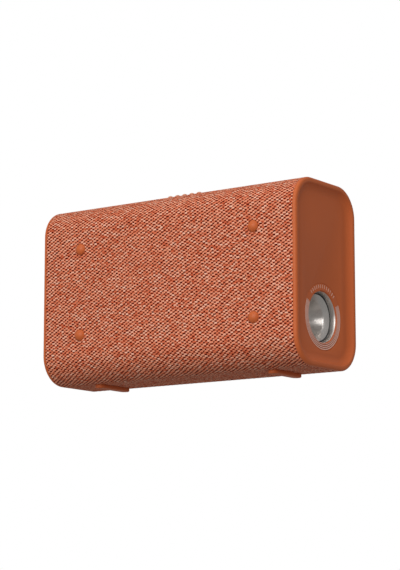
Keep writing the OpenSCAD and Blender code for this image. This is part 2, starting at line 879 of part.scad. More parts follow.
// Deck and inverter -----------------------------------------------------------------------

module at_deck_screws() {
    for (x = [-1, 1], y = [-1, 1]) translate([x * deck_screw_x, y * holder_screw_y, pack_top]) children();
}

module at_standoffs() {
    for (x = [-1, 1], y = [-1, 1])
        translate([x * (board_x - 4), y * (board_y - 4), pack_top + deck_t]) children();
}

module deck_plate() {
    color("silver") placed() difference() {
        translate([-pack_x, -pack_y, pack_top]) cube([2 * pack_x, 2 * pack_y, deck_t]);
        at_deck_screws() disc(small_screw_r, -1, deck_t + 1);
    }
}

// Hexagonal posts between deck and board, and the short screws that hold the deck down
module board_standoffs() {
    color("gold") placed() {
        at_standoffs() cylinder(r = standoff_r, h = standoff_h, $fn = 6);
        at_deck_screws() translate([0, 0, deck_t]) mirror([0, 0, 1]) screw(1.8, 1.2, small_screw_r, deck_t + 4.5);
    }
}

module inverter_board() {
    color("darkgreen") placed() {
        translate([-board_x, -board_y, board_z]) cube([2 * board_x, 2 * board_y, board_t]);
        translate([-terminal_x, 2, parts_z + terminal_h / 2]) cube([8, 32, terminal_h], center = true);
        translate([ribbon_x, 0, parts_z + 1.5]) cube([4, 14, 3], center = true);
    }
}

module transformer() {
    s = transformer_size;
    color("goldenrod") placed() translate([transformer_x, 0, parts_z]) {
        difference() {
            translate([-s.x / 2, -s.y / 2, 0]) cube(s);
            for (x = [-1, 1]) translate([x * s.x * 0.28, 0, s.z / 2])
                cube([s.x * 0.2, s.y + 1, s.z * 0.55], center = true);
        }
        translate([0, 0, s.z / 2]) cube([s.x * 0.72, s.y - 6, s.z * 0.5], center = true);
    }
}

module capacitors() {
    color("midnightblue") placed() for (i = [0:capacitor_count - 1])
        translate([transformer_x + i * capacitor_step, -capacitor_y, parts_z])
            cylinder(r = capacitor_r, h = capacitor_h);
}

module heat_spreader() {
    length = 2 * board_x - 24;
    color("silver") placed() translate([6, board_y - 14, parts_z]) {
        translate([-length / 2, 0, 0]) cube([length, 3, capacitor_h]);
        for (i = [0:4]) translate([-length / 2, 3, i * 4.6]) cube([length, 7, 1.6]);
    }
}

module inductor() {
    color("orangered") placed() translate([board_x - 14, 0, parts_z + inductor_wire])
        rotate_extrude() translate([inductor_r, 0]) circle(inductor_wire);
}

// Sockets ---------------------------------------------------------------------------------

module at_ac() {
    left_end() translate([0, torch_y, 0]) children();
}

module ac_socket() {
    color("saddlebrown") at_ac() difference() {
        union() {
            disc(ring_r, -recess_depth, -dish_depth);
            disc(bezel_out, -ac_body_end, -recess_depth + 0.5);
        }
        disc(ac_bore / 2, -dish_depth - ac_depth, 1);
        for (x = [-1, 1]) translate([x * ac_pin_pitch / 2, 0, 0]) disc(ac_hole_r, -ac_body_end - 1, 1);
    }
}

// Two pin sleeves behind the recess, and two earth clips on its wall
module ac_contacts() {
    color("gold") at_ac() {
        for (x = [-1, 1]) translate([x * ac_pin_pitch / 2, 0, 0]) difference() {
            disc(contact_r, -ac_body_end - contact_l, -ac_body_end);
            disc(ac_hole_r, -ac_body_end - contact_l + 1.5, 1);
        }
        for (y = [-1, 1]) translate([0, y * (ac_bore / 2 - 0.9), clip_size.z / 2 - dish_depth - ac_depth])
            cube(clip_size, center = true);
    }
}

module car_socket() {
    color("dimgray") left_end() translate(car_place) difference() {
        union() {
            disc(car_flange_r, -dish_depth, -dish_depth + car_flange_t);
            disc(car_r, -dish_depth - car_depth - car_floor_t, -dish_depth + 0.5);
        }
        disc(car_bore / 2, -dish_depth - car_depth, 1);
    }
}

module socket_nuts() {
    color("gray") {
        at_ac() tube(nut_r, bezel_out, -boss_end - nut_t, -boss_end);
        left_end() translate(car_place) tube(car_r + 2.8, car_r, -floor_back - nut_t, -floor_back);
        left_end() translate(dc_place) tube(dc_r + 2.4, dc_r, -floor_back - nut_t, -floor_back);
    }
}

module usb_a_ports() {
    inside = usb_a_size - [2, 2] * usb_wall;
    length = port_board_front - usb_front;
    color("silver") left_end() at_usb(usb_a_y) translate([0, 0, -port_board_front]) {
        difference() {
            linear_extrude(length) square(usb_a_size, center = true);
            translate([0, 0, 1]) linear_extrude(length) square(inside, center = true);
        }
        translate([-inside.x / 2 + 0.7, 0.5, 0.5]) cube([inside.x - 1.4, 1.6, length - 2.5]);
    }
}

module usb_c_ports() {
    length = port_board_front - usb_front;
    tongue = usb_c_size.x - 3.2;
    color("silver") left_end() at_usb(usb_c_y) translate([0, 0, -port_board_front]) {
        difference() {
            linear_extrude(length) stadium(usb_c_size.x, usb_c_size.y);
            translate([0, 0, 1]) linear_extrude(length)
                stadium(usb_c_size.x - 2 * usb_wall, usb_c_size.y - 2 * usb_wall);
        }
        translate([-tongue / 2, -0.35, 0.5]) cube([tongue, 0.7, length - 1.5]);
    }
}

module dc_input_jack() {
    color("dimgray") left_end() translate(dc_place) {
        difference() {
            union() {
                disc(dc_flange_r, -dish_depth, -dish_depth + 1);
                disc(dc_r, -dc_end, -dish_depth + 0.5);
            }
            disc(dc_bore_r, 2 - dc_end, 1);
        }
        disc(0.6, 1 - dc_end, -dish_depth - 1.5);
    }
}

module port_board() {
    color("darkgreen") left_end() difference() {
        translate([0, 0, -port_board_front - board_t]) linear_extrude(board_t) intersection() {
            outline(skirt_in + 1);
            translate([-port_board_w / 2, port_board_low]) square([port_board_w, port_board_high - port_board_low]);
        }
        at_port_posts() disc(small_screw_r + screw_gap, -port_board_front - board_t - 1, 1);
    }
}

module port_board_screws() {
    color("gray") left_end() at_port_posts() translate([0, 0, -port_board_front - board_t])
        screw(1.8, 1.2, small_screw_r, board_t + 8);
}

// Leads -----------------------------------------------------------------------------------

// Over the edge of the inverter board and down on its terminals, at one place across it
function to_board(x, y) = [
    [-x, y, parts_z + 4],
    [-x + 1.5, y, parts_z + lead_top - 4],
    [-x + 6, y, parts_z + lead_top],
    [-terminal_x - 5, y, parts_z + lead_top],
    [-terminal_x - 1.5, y, parts_z + lead_top - 2],
    [-terminal_x, y, parts_z + lead_top - 6],
    [-terminal_x, y, parts_z + terminal_h]
];

module battery_lead(y) {
    x = side_board_out + heavy_lead_r;
    lead(concat([[-x, y, bms_z + bms_size.y / 2 - 1]], to_board(x, y)), heavy_lead_r, [0, 1, 0]);
}

module mains_lead(pin, y) {
    socket_x = body_l / 2 - ac_body_end - contact_l;
    start = [[-socket_x, pin, torch_y], [-socket_x + 4, pin, torch_y], [-lead_rise_x + 1, (pin + y) / 2, torch_y + 5]];
    rise = [[-lead_rise_x, y, torch_y + 16], [-lead_rise_x, y, parts_z - 6]];
    lead(concat(start, rise, to_board(lead_rise_x, y)), heavy_lead_r, [0, 1, 0]);
}

module power_leads() {
    color("firebrick") placed() {
        battery_lead(-9);
        battery_lead(-3);
        mains_lead(-ac_pin_pitch / 2, 6);
        mains_lead(ac_pin_pitch / 2, 13);
    }
}

// The torch's lead, and the flat cable from the control board to the inverter board
module signal_leads() {
    from_x = side_board_out + side_part_t;
    head_x = body_l / 2 - head_seat - 4;
    head_z = torch_y + bezel_out;
    z = driver_z + 8;
    route = [[from_x, 0, z], [head_x - 8, 0, z], [head_x - 3, 0, z - 2], [head_x, 0, z - 7], [head_x, 0, head_z]];
    top = [control_board_l / 2 - 5, body_h / 2 - board_top - board_t - 3.1];
    foot = [ribbon_x, parts_z + 3];
    bend = 5;
    t = 0.8;
    line = [top, top - [0, bend], foot + [0, bend], foot];
    flat = concat([for (p = line) p - [t / 2, 0]], [for (i = [3:-1:0]) line[i] + [t / 2, 0]]);
    color("gray") placed() {
        lead(route, thin_lead_r, [0, 1, 0]);
        translate([0, 5, 0]) rotate([90, 0, 0]) linear_extrude(10) polygon(flat);
    }
}

fabric_sleeve();
core_tube();
end_cap_right();
end_cap_left();
cap_gaskets();
foot_bar_right();
foot_bar_left();
foot_screws();
stud_upper_right();
stud_upper_left();
stud_lower_right();
stud_lower_left();
stud_nuts();
control_strip();
button_ac();
button_dc();
button_power();
button_usb();
button_torch();
button_seal();
control_board();
tact_switches();
control_board_screws();
torch_ring();
torch_bezel();
torch_bezel_nut();
torch_lens();
lens_seal();
torch_reflector();
torch_led();
torch_star_board();
torch_heatsink();
heatsink_screws();
torch_driver_board();
battery_cells();
cell_holder_front();
cell_holder_back();
cell_links();
battery_bracket_right();
battery_bracket_left();
bracket_screws();
bms_board();
deck_plate();
board_standoffs();
inverter_board();
transformer();
capacitors();
heat_spreader();
inductor();
ac_socket();
ac_contacts();
car_socket();
socket_nuts();
usb_a_ports();
usb_c_ports();
dc_input_jack();
port_board();
port_board_screws();
power_leads();
signal_leads();
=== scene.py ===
# Camping power station: a woven sleeve on an aluminium tube, between two moulded end caps.
import math

import bmesh
import bpy
import numpy as np
from mathutils import Matrix, Vector


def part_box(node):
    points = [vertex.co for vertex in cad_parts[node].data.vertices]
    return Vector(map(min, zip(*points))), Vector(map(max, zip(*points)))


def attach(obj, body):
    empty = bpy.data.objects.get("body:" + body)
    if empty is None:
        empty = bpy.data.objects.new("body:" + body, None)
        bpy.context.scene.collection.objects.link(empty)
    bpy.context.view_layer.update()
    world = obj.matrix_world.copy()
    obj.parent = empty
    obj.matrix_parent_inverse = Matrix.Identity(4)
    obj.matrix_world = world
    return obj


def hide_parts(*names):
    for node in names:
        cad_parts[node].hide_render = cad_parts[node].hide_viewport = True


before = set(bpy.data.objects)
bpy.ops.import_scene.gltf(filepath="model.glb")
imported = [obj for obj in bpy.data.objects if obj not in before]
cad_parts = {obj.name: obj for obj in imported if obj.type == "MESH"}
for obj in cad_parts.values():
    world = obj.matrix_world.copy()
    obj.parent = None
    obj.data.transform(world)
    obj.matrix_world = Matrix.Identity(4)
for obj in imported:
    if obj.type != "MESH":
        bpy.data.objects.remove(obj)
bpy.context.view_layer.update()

# Camera, light and floor -----------------------------------------------------------------
# The unit stands on a plain pale floor and is seen from a low place in front of its torch end.
# The floor is one-sided: it shows and catches shadows from above, is clear from below, and sends
# no light or shadow back onto the unit.
body_low, body_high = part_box("fabric_sleeve")
middle = (body_low + body_high) / 2
crest_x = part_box("end_cap_right")[1].x
view_distance = 1.6328


def towards(azimuth, elevation):
    """The direction from the middle of the body to a place around it."""
    a, e = math.radians(azimuth), math.radians(elevation)
    return Vector((math.sin(a) * math.cos(e), -math.cos(a) * math.cos(e), math.sin(e)))


def facing(direction):
    """The turn that makes a camera or light at that side look at the middle."""
    return direction.to_track_quat("Z", "Y").to_euler()


def linear(red, green, blue):
    """A colour given as it looks on a screen, 0 to 255, as the linear values that shaders use."""
    parts = [c / 255 for c in (red, green, blue)]
    return tuple(c / 12.92 if c <= 0.04045 else ((c + 0.055) / 1.055) ** 2.4 for c in parts) + (1,)


class Field:
    """A value or a colour that varies over a surface. Arithmetic on it adds Math nodes."""

    def __init__(self, tree, socket=None):
        self.tree = tree
        self.socket = socket

    def node(self, kind, values=(), out=0, stops=(), **settings):
        """Adds a node of any type, with its settings and inputs, and returns one of its outputs."""
        made = self.tree.nodes.new(kind)
        for name, value in settings.items():
            setattr(made, name, value)
        for k, (place, colour) in enumerate(stops):
            stop = made.color_ramp.elements[k] if k < 2 else made.color_ramp.elements.new(place)
            stop.position = place
            stop.color = colour
        for place, value in values.items() if isinstance(values, dict) else enumerate(values):
            if isinstance(value, Field):
                self.tree.links.new(value.socket, made.inputs[place])
            else:
                made.inputs[place].default_value = value
        return Field(self.tree, made.outputs[out])

    def math(self, operation, *values):
        return self.node("ShaderNodeMath", values, operation=operation)

    def __add__(self, other):
        return self.math("ADD", self, other)

    def __sub__(self, other):
        return self.math("SUBTRACT", self, other)

    def __rsub__(self, other):
        return self.math("SUBTRACT", other, self)

    def __mul__(self, other):
        return self.math("MULTIPLY", self, other)

    def __truediv__(self, other):
        return self.math("DIVIDE", self, other)

    def __pow__(self, other):
        return self.math("POWER", self, other)

    def __mod__(self, other):
        return self.math("FLOORED_MODULO", self, other)

    def __gt__(self, other):
        return self.math("GREATER_THAN", self, other)

    def __lt__(self, other):
        return self.math("LESS_THAN", self, other)

    __radd__ = __add__
    __rmul__ = __mul__


class Finish(Field):
    """A material, as the Field that its patterns start from."""

    def __init__(self, name, constants):
        self.material = bpy.data.materials.new(name)
        self.material.use_nodes = True
        super().__init__(self.material.node_tree)
        self.surface = self.tree.nodes["Principled BSDF"]
        for socket, value in constants.items():
            self.surface.inputs[socket].default_value = value

    def feed(self, socket, field):
        self.tree.links.new(field.socket, self.surface.inputs[socket])

    def place(self):
        return self.node("ShaderNodeTexCoord", out="Object")

    def noise(self, place, scale, detail=2):
        return self.node("ShaderNodeTexNoise", {"Vector": place, "Scale": scale, "Detail": detail})

    def mix(self, factor, first, second):
        colours = {0: factor, 6: first, 7: second}
        return self.node("ShaderNodeMix", colours, out=2, data_type="RGBA")

    def parts(self, vector):
        return [self.node("ShaderNodeSeparateXYZ", [vector], out=k) for k in range(3)]

    def join(self, *parts):
        return self.node("ShaderNodeCombineXYZ", parts)

    def bump(self, height, distance, strength=1.0):
        values = {"Strength": strength, "Distance": distance, "Height": height}
        self.feed("Normal", self.node("ShaderNodeBump", values))


def panel(name, azimuth, elevation, distance, size, power):
    """A soft rectangular light that faces the middle of the body."""
    side = towards(azimuth, elevation)
    bpy.ops.object.light_add(type="AREA", location=middle + distance * side, rotation=facing(side))
    light = bpy.context.object
    light.name = name
    light.data.shape = "RECTANGLE"
    light.data.size, light.data.size_y = size
    light.data.energy = power


def floor_finish():
    finish = Finish("pale_floor", {"Roughness": 0.8})
    drift = finish.noise(finish.place(), scale=3)
    finish.feed("Base Color", finish.mix(drift, (0.84, 0.84, 0.84, 1), (0.9, 0.9, 0.9, 1)))
    clear = finish.node("ShaderNodeBsdfTransparent")
    back = finish.node("ShaderNodeNewGeometry", out="Backfacing")
    front = Field(finish.tree, finish.surface.outputs[0])
    seen = finish.node("ShaderNodeMixShader", [back, front, clear])
    output = finish.tree.nodes["Material Output"]
    finish.tree.links.new(seen.socket, output.inputs["Surface"])
    return finish


def studio_world(above, below):
    """Plain white to look at. It lights the object from all round, less from below."""
    world = bpy.data.worlds.new("studio")
    world.use_nodes = True
    bpy.context.scene.world = world
    field = Field(world.node_tree)
    way = field.node("ShaderNodeTexCoord", out="Generated")
    height = field.node("ShaderNodeSeparateXYZ", [way], out=2)
    strength = (height * 0.5 + 0.5) * (above - below) + below
    lit = field.node("ShaderNodeBackground", {"Color": (1, 1, 1, 1), "Strength": strength})
    plain = field.node("ShaderNodeBackground", {"Color": (1, 1, 1, 1), "Strength": 1.0})
    seen = field.node("ShaderNodeLightPath", out="Is Camera Ray")
    mixed = field.node("ShaderNodeMixShader", [seen, lit, plain])
    output = world.node_tree.nodes["World Output"]
    world.node_tree.links.new(mixed.socket, output.inputs["Surface"])


back = towards(azimuth=35.588, elevation=-9.364)
bpy.ops.object.camera_add(location=middle + view_distance * back, rotation=facing(back))
camera = bpy.context.object
camera.data.sensor_width = 36
camera.data.lens = 124.6
camera.data.shift_x = 0.0068
camera.data.shift_y = 0.0078
bpy.context.scene.camera = camera
bpy.context.scene.view_settings.view_transform = "Standard"

studio_world(above=0.42, below=0.28)
panel("key_panel", azimuth=12, elevation=16, distance=1.6, size=(1.2, 0.9), power=13.5)
panel("top_panel", azimuth=10, elevation=80, distance=1.5, size=(1.2, 1.2), power=2)
panel("side_panel", azimuth=26, elevation=42, distance=1.8, size=(1.4, 1.4), power=5)

bpy.ops.mesh.primitive_plane_add(size=5)
floor = bpy.context.object
floor.name = "floor"
floor.data.materials.append(floor_finish().material)
for rays in ("diffuse", "glossy", "shadow", "transmission"):
    setattr(floor, "visible_" + rays, False)

# Woven sleeve ----------------------------------------------------------------------------
# One cut of melange cloth, woven over one and under one so that its yarns lie in diagonal lines.
# It is stretched round the tube and sewn shut along the rear of the underside, and its ends turn
# in under the rims of the caps.
corner_r = 0.0245
half_d = (body_high.y - body_low.y) / 2
half_h = (body_high.z - body_low.z) / 2
sleeve_l = body_high.x - body_low.x
flat_y, flat_z = half_d - corner_r, half_h - corner_r
quarter = math.pi / 2 * corner_r
girth = 4 * (flat_y + flat_z + quarter)
repeats_along, repeats_round = 51, 142
# Spacing along the body and round it: first of the lines that rise, then of those that fall.
repeat_x, repeat_s = sleeve_l / repeats_along, girth / repeats_round
lean_x, lean_s = 0.004437, 0.002516
relief = 0.00011
roll, tuck = 0.0008, 0.0003
roll_columns = (0.0, 0.00012, 0.0004)
seam_at = flat_y - 0.004
seam_sink, seam_w = 0.0004, 0.0012
columns_per_repeat, rows_per_repeat = 4, 3
hole_gap = 0.0002
foot_screw_side, foot_screw_hole_r = 0.012, 0.0017


def round_body(run):
    """The section's inner corner point and the angle of its outward normal, at a run round it."""
    sides = [flat_y, quarter, 2 * flat_z, quarter, 2 * flat_y, quarter, 2 * flat_z, quarter, flat_y]
    knots = np.cumsum([0] + sides)
    run = np.mod(run, girth)
    y = np.interp(run, knots, np.array([0, 1, 1, 1, 1, -1, -1, -1, -1, 0]) * flat_y)
    z = np.interp(run, knots, np.array([-1, -1, -1, 1, 1, 1, 1, -1, -1, -1]) * flat_z)
    angle = np.interp(run, knots, np.radians([-90, -90, 0, 0, 90, 90, 180, 180, 270, 270]))
    return y, z, angle


def woven_sheet():
    """A grid bent round the body, raised along the weave's diagonals and rolled in at its ends."""
    ends = sleeve_l / 2 - np.array(roll_columns)
    steps = columns_per_repeat * repeats_along
    columns = np.linspace(-sleeve_l / 2, sleeve_l / 2, steps + 1)[1:-1]
    along = np.concatenate([[-ends[0]], -ends, columns, ends[::-1], [ends[0]]])
    rows = rows_per_repeat * repeats_round
    bpy.ops.mesh.primitive_grid_add(x_subdivisions=len(along) - 1, y_subdivisions=rows, size=1)
    sheet = bpy.context.object
    sheet.name = "woven_sleeve"
    points = np.empty((len(sheet.data.vertices), 3))
    sheet.data.vertices.foreach_get("co", points.ravel())
    column = np.rint((points[:, 0] + 0.5) * (len(along) - 1)).astype(int)
    share = points[:, 1] + 0.5
    x, run = along[column], share * girth + seam_at
    to_end = np.clip(sleeve_l / 2 - np.abs(x), 0, roll)
    sink = roll - np.sqrt(roll ** 2 - (roll - to_end) ** 2)
    sink[(column == 0) | (column == len(along) - 1)] = roll + tuck
    to_seam = np.minimum(share, 1 - share) * girth
    sink += seam_sink * np.clip(1 - to_seam / seam_w, 0, 1) ** 2
    wave = relief * np.sin(2 * np.pi * (x / repeat_x + run / repeat_s)) * (to_end / roll)
    y, z, angle = round_body(run)
    r = corner_r - relief - sink + wave
    bent = np.stack([x, y + r * np.cos(angle), z + r * np.sin(angle)], 1)
    points[:] = bent + np.array([0, middle.y, middle.z])
    sheet.data.vertices.foreach_set("co", points.ravel())
    weave = sheet.data.uv_layers.new(name="weave")
    corners = np.empty(len(sheet.data.loops), int)
    sheet.data.loops.foreach_get("vertex_index", corners)
    woven = np.stack([x[corners], share[corners] * girth + seam_at], 1)
    weave.data.foreach_set("uv", woven.ravel())
    for layer in [u for u in sheet.data.uv_layers if u.name != "weave"]:
        sheet.data.uv_layers.remove(layer)
    edit(sheet)
    bpy.ops.mesh.select_all(action="SELECT")
    bpy.ops.mesh.flip_normals()
    bpy.ops.object.mode_set(mode="OBJECT")
    return sheet


def single_out(piece=None):
    """Leaves edit mode and selects one piece and nothing else, or nothing at all."""
    if bpy.context.mode != "OBJECT":
        bpy.ops.object.mode_set(mode="OBJECT")
    bpy.ops.object.select_all(action="DESELECT")
    if piece:
        piece.select_set(True)
        bpy.context.view_layer.objects.active = piece


def edit(piece):
    """Opens one piece in edit mode, with nothing else selected."""
    single_out(piece)
    bpy.ops.object.mode_set(mode="EDIT")


def pick(piece, test, kind="faces"):
    """Selects, in edit mode, only the faces, edges or verts that pass a test."""
    bpy.ops.mesh.select_mode(type={"faces": "FACE", "edges": "EDGE", "verts": "VERT"}[kind])
    bpy.ops.mesh.select_all(action="DESELECT")
    mesh = bmesh.from_edit_mesh(piece.data)
    for item in getattr(mesh, kind):
        if test(item):
            item.select_set(True)
    mesh.select_flush_mode()
    bmesh.update_edit_mesh(piece.data)


def open_hole(sheet, centre, radius, normal, slot_half=0.0, reach=0.003):
    """Cuts a round or slotted hole in the sheet, and draws its edge out to the true outline."""

    def offset(point):
        away = point - centre
        away -= away.dot(normal) * normal
        away.x -= max(-slot_half, min(slot_half, away.x))
        return away

    def inside(vert):
        return (vert.co - centre).dot(normal) > -reach and offset(vert.co).length < radius

    edit(sheet)
    pick(sheet, inside, "verts")
    bpy.ops.mesh.delete(type="FACE")
    mesh = bmesh.from_edit_mesh(sheet.data)
    for vert in mesh.verts:
        if inside(vert) and offset(vert.co).length > 1e-6:
            away = offset(vert.co)
            vert.co += away.normalized() * (radius - away.length)
    bmesh.update_edit_mesh(sheet.data)
    bpy.ops.object.mode_set(mode="OBJECT")


def melange_cloth():
    """Thick crossed yarns, over one and under one; each yarn changes tint along its run, and the
    gaps between the yarns are painted dark as shade.
    """
    finish = Finish("melange_cloth", {"Specular IOR Level": 0.03, "Sheen Weight": 0.03,
                                      "Sheen Roughness": 0.5, "Sheen Tint": linear(230, 170, 140)})
    x, s, _ = finish.parts(finish.node("ShaderNodeUVMap", uv_map="weave"))
    turn_once = 2 * math.pi
    pull = finish.noise(finish.join(x, s, 0.02), scale=260) - 0.5
    rising = x / repeat_x + s / repeat_s + 0.25 + pull * 0.55
    falling = x / lean_x - s / lean_s + pull * 0.9
    across, up = rising + falling, rising - falling
    column, row = finish.math("FLOOR", across), finish.math("FLOOR", up)

    def float_height(run, side):
        """Height of a yarn's float, from where it is along and across it."""
        return finish.math("SINE", run * math.pi) * (1 - (side * 2 - 1) ** 2 * 0.6)

    warp = float_height(up + column, across - column)
    weft = float_height(across + row + 1, up - row)
    height = finish.math("MAXIMUM", finish.math("MAXIMUM", warp, weft * 0.8), 0)
    rising_gap = finish.math("COSINE", rising * turn_once)
    falling_gap = finish.math("COSINE", falling * turn_once)
    sunk = rising_gap * 0.6 - falling_gap * 0.36
    loose = finish.noise(finish.join(across * 0.9, up * 0.9, 5), scale=1)
    # Where the yarns part: this sinks the bump and also sets the painted shade in the gaps.
    between = finish.math("MAXIMUM", sunk + 0.15, 0) * (loose * 3.2 - 0.6)
    warp_tint = finish.noise(finish.join(column * 1.7, up * 0.8, 3), scale=1)
    weft_tint = finish.noise(finish.join(across * 0.8, row * 1.7, 8), scale=1)
    warp_stops = [(0.34, linear(210, 98, 64)), (0.44, linear(235, 136, 100)),
                  (0.53, linear(245, 164, 130)), (0.66, linear(252, 198, 172))]
    weft_stops = [(0.36, linear(146, 34, 10)), (0.45, linear(200, 78, 44)),
                  (0.56, linear(228, 112, 76)), (0.68, linear(242, 160, 126))]
    warp_colour = finish.node("ShaderNodeValToRGB", [warp_tint], stops=warp_stops)
    weft_colour = finish.node("ShaderNodeValToRGB", [weft_tint], stops=weft_stops)
    fibre = finish.noise(finish.join(x, s, 0), scale=1000)
    yarn = finish.mix(warp > weft, weft_colour, warp_colour)
    # Painted shade: where the gaps between the yarns sink, the colour falls towards a deep red,
    # standing in for shade and light bounced between the yarns; the fibre noise on top is the
    # yarns' own tone.
    lit = 0.99 - between * 1.2 + (fibre - 0.5) * 1.8
    finish.feed("Base Color", finish.mix(lit, linear(70, 6, 1), yarn))
    finish.feed("Roughness", fibre * 0.2 + 0.7)
    finish.bump(height * 0.4 - between * 0.6 + fibre * 0.2, distance=0.0003)
    return finish


def fit(piece, finish, slot, *nodes, body="case"):
    """Gives a finished piece its material and body, and hides the CAD nodes that it stands for."""
    piece.data.materials.clear()
    piece.data.materials.append(finish.material)
    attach(piece, body)
    if nodes:
        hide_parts(*nodes)


def centre_of(node):
    """The middle of a CAD node's box, as three numbers."""
    return [(low + high) / 2 for low, high in zip(*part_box(node))]


stud_nodes = [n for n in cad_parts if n.startswith("stud_") and n != "stud_nuts"]
foot_nodes = ["foot_bar_right", "foot_bar_left"]
strip_low, strip_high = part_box("control_strip")
sleeve = woven_sheet()
for node in stud_nodes:
    low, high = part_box(node)
    x, y, z = centre_of(node)
    place = Vector((x, body_low.y, z))
    open_hole(sleeve, place, (high.x - low.x) / 2 + hole_gap, Vector((0, -1, 0)))
for node in foot_nodes:
    for side in (-foot_screw_side, foot_screw_side):
        place = Vector((centre_of(node)[0], middle.y + side, body_low.z))
        open_hole(sleeve, place, foot_screw_hole_r, Vector((0, 0, -1)))
strip_half_w = (strip_high.y - strip_low.y) / 2
strip_middle = Vector((0, (strip_low.y + strip_high.y) / 2, body_high.z))
strip_run = (strip_high.x - strip_low.x) / 2 - strip_half_w
open_hole(sleeve, strip_middle, strip_half_w + hole_gap, Vector((0, 0, 1)), strip_run)
bpy.ops.object.shade_smooth()
fit(sleeve, melange_cloth(), "sleeve_fabric", "fabric_sleeve")

# Core tube and gaskets -------------------------------------------------------------------
# An extruded aluminium tube carries everything. A soft gasket lies between each of its ends
# and the rim of the cap that plugs into it.


def metal(name, colour, roughness, streaks=(60, 60, 60), grain=0.00002, mottle=1.0):
    """Bare or plated metal with fine streaks along the way that it was drawn, turned or pressed."""
    finish = Finish(name, {"Metallic": 1.0})
    place = finish.place()
    stretched = finish.node("ShaderNodeMapping", {"Vector": place, "Scale": streaks})
    line = finish.noise(stretched, scale=12, detail=3)
    stain = finish.noise(place, scale=40, detail=3)
    darker = tuple(c * 0.8 for c in colour[:3]) + (1,)
    finish.feed("Base Color", finish.mix(line * 0.7 + stain * 0.3, darker, colour))
    finish.feed("Roughness", (line * 0.14 + stain * 0.1) * mottle + (roughness - 0.12 * mottle))
    finish.bump(line, distance=grain, strength=0.6)
    return finish


def moulded(name, colour, roughness, flow=0.1):
    """Moulded plastic or rubber: slow flow in the colour, under a fine spark-eroded grain."""
    finish = Finish(name, {"Specular IOR Level": 0.25})
    place = finish.place()
    drift = finish.noise(place, scale=24, detail=3)
    speck = finish.noise(place, scale=1500)
    dark, light = (tuple(min(c * f, 1) for c in colour[:3]) + (1,) for f in (1 - flow, 1 + flow))
    finish.feed("Base Color", finish.mix(drift * 0.6 + speck * 0.4, dark, light))
    finish.feed("Roughness", speck * 0.16 + drift * 0.08 + (roughness - 0.12))
    finish.bump(speck, distance=0.00004, strength=0.5)
    return finish


def coat(finish, *nodes):
    """Gives a material to CAD nodes that are shown as they are."""
    for name in nodes:
        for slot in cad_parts[name].material_slots:
            slot.material = finish.material


coat(metal("drawn_aluminium", linear(190, 192, 196), 0.42, (4, 300, 300)), "core_tube")
coat(moulded("gasket_rubber", linear(38, 34, 32), 0.75), "cap_gaskets")

# End caps --------------------------------------------------------------------------------
# Each cap is one moulding in burnt-orange plastic: a rounded rim, a cove that falls to a flat
# dish floor, a skirt that plugs into the tube and a boss for the torch or the mains socket.
rim_band = crest_x - body_high.x
rim_round = 0.0022
crest_end = rim_round + 0.001
crest_round = 0.0016
cove_w, cove_foot = 0.011, 0.0004
dish_depth = 0.004
floor_back = 0.0065
skirt_out, skirt_in, skirt_end = 0.0039, 0.0063, 0.014
ring_low, ring_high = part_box("torch_ring")
ring_r = (ring_high.y - ring_low.y) / 2
torch_up = (ring_high.z + ring_low.z) / 2 - middle.z
boss_end, boss_wall, boss_bite = 0.016, 0.004, 0.0005
recess_depth, recess_gap = 0.0072, 0.0001
boss_hole_r = 0.0218
cut_past = 0.01
moulded_edge = 0.00015
right_end = Matrix(((0, 0, 1, crest_x), (1, 0, 0, middle.y), (0, 1, 0, middle.z), (0, 0, 0, 1)))
left_end = Matrix(((0, 0, -1, -crest_x), (1, 0, 0, middle.y), (0, 1, 0, middle.z), (0, 0, 0, 1)))
torch_shift = Matrix.Translation((0, torch_up, 0))


def arc(x, z, r, start, end, steps):
    """Points on an arc, as (across, up)."""
    angles = [math.radians(start + (end - start) * k / steps) for k in range(steps + 1)]
    return [(x + r * math.cos(a), z + r * math.sin(a)) for a in angles]


def block(name, size, low, high, corner, segments=16):
    """A block with rounded upright edges, left open in edit mode."""
    bpy.ops.object.select_all(action="DESELECT")
    bpy.ops.mesh.primitive_cube_add(size=1, location=(0, 0, (low + high) / 2))
    piece = bpy.context.object
    piece.name = name
    piece.scale = (size[0], size[1], high - low)
    bpy.ops.object.transform_apply()
    edit(piece)
    pick(piece, lambda e: abs(e.verts[0].co.z - e.verts[1].co.z) > (high - low) / 2, "edges")
    bpy.ops.mesh.bevel(offset=corner, segments=segments, affect="EDGES")
    return piece


def follow(piece, profile, way):
    """Draws a block's top (way 1) or underside (-1) on through points of (inset, height)."""
    pick(piece, lambda f: f.normal.z * way > 0.9)
    for (inset, height), (next_inset, next_height) in zip(profile, profile[1:]):
        rise = next_height - height
        if next_inset - inset > 1e-7:
            bpy.ops.mesh.inset(thickness=next_inset - inset, depth=rise * way)
        else:
            bpy.ops.mesh.extrude_region_move(TRANSFORM_OT_translate={"value": (0, 0, rise)})
    return piece


def rod(radius, low, high, x=0.0, y=0.0, sides=96):
    """A plain cylinder, to cut with or to add."""
    single_out()
    place = (x, y, (low + high) / 2)
    bpy.ops.mesh.primitive_cylinder_add(vertices=sides, radius=radius, depth=high - low,
                                        location=place)
    return bpy.context.object


def combine(piece, tool, operation="DIFFERENCE"):
    """Cuts one solid with another, or joins them, and removes the tool."""
    single_out(piece)
    change = piece.modifiers.new("change", "BOOLEAN")
    change.object = tool
    change.operation = operation
    bpy.ops.object.modifier_apply(modifier="change")
    bpy.data.objects.remove(tool)


